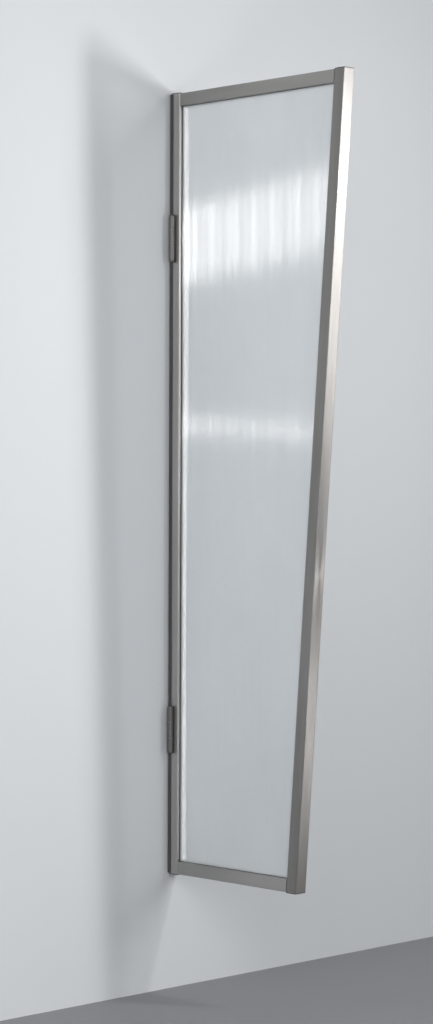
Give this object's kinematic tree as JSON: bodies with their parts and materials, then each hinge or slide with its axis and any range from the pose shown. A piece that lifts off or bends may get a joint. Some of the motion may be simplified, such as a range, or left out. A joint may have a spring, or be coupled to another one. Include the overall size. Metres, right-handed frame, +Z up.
{
  "type": "hinged side screen panel",
  "caption": "Tall wall-hung side screen: a trapezoid frame of brushed box tube round a ribbed translucent pane, swinging on barrel hinges.",
  "frame": {"origin": "on the wall plane, at the middle of the lower hinge's wall leaf, on the wall post's centre line", "axes": "+X along the wall, +Y into the wall, +Z up; at rest the panel stands out from the wall along -Y"},
  "size_m": [0.052, 0.6491, 2.0036],
  "materials": {
    "frame_tube": "brushed along the bar, satin",
    "pane": "translucent acrylic with fine upright ribs",
    "gasket": "matt black",
    "bead": "smooth white",
    "end_cap": "moulded, matt dark grey",
    "corner_key": "as cast",
    "hinge": "satin stainless",
    "screw": "bright stainless",
    "nylon": "grey nylon"
  },
  "bodies": {
    "wall_side": {"lower_hinge_pin": "hinge", "lower_pin_tip_bottom": "hinge", "lower_pin_tip_top": "hinge", "lower_wall_leaf": "hinge", "lower_wall_screw_bottom": "screw", "lower_wall_screw_middle": "screw", "lower_wall_screw_top": "screw", "lower_washer_bottom": "nylon", "lower_washer_top": "nylon", "upper_hinge_pin": "hinge", "upper_pin_tip_bottom": "hinge", "upper_pin_tip_top": "hinge", "upper_wall_leaf": "hinge", "upper_wall_screw_bottom": "screw", "upper_wall_screw_middle": "screw", "upper_wall_screw_top": "screw", "upper_washer_bottom": "nylon", "upper_washer_top": "nylon"},
    "panel": {"bottom_bead": "bead", "bottom_gasket": "gasket", "bottom_outer_corner_key": "corner_key", "bottom_outer_corner_screw": "screw", "bottom_rail": "frame_tube", "bottom_wall_corner_key": "corner_key", "bottom_wall_corner_screw": "screw", "bottom_wall_seal": "gasket", "glazing_pane": "pane", "lower_frame_leaf": "hinge", "lower_frame_screw_bottom": "screw", "lower_frame_screw_middle": "screw", "lower_frame_screw_top": "screw", "middle_wall_seal": "gasket", "outer_bead": "bead", "outer_gasket": "gasket", "outer_post": "frame_tube", "outer_post_bottom_cap": "end_cap", "outer_post_top_cap": "end_cap", "outer_setting_block": "nylon", "top_bead": "bead", "top_gasket": "gasket", "top_outer_corner_key": "corner_key", "top_outer_corner_screw": "screw", "top_rail": "frame_tube", "top_wall_corner_key": "corner_key", "top_wall_corner_screw": "screw", "top_wall_seal": "gasket", "upper_frame_leaf": "hinge", "upper_frame_screw_bottom": "screw", "upper_frame_screw_middle": "screw", "upper_frame_screw_top": "screw", "wall_bead": "bead", "wall_gasket": "gasket", "wall_post": "frame_tube", "wall_post_bottom_cap": "end_cap", "wall_post_top_cap": "end_cap", "wall_setting_block": "nylon"}
  },
  "joints": [
    {"name": "panel_swing", "type": "hinge", "parent": "wall_side", "child": "panel", "pos_m": [-0.0257, -0.0185, 0], "axis": [0, 0, -1], "range_deg": [0, 90]}
  ]
}
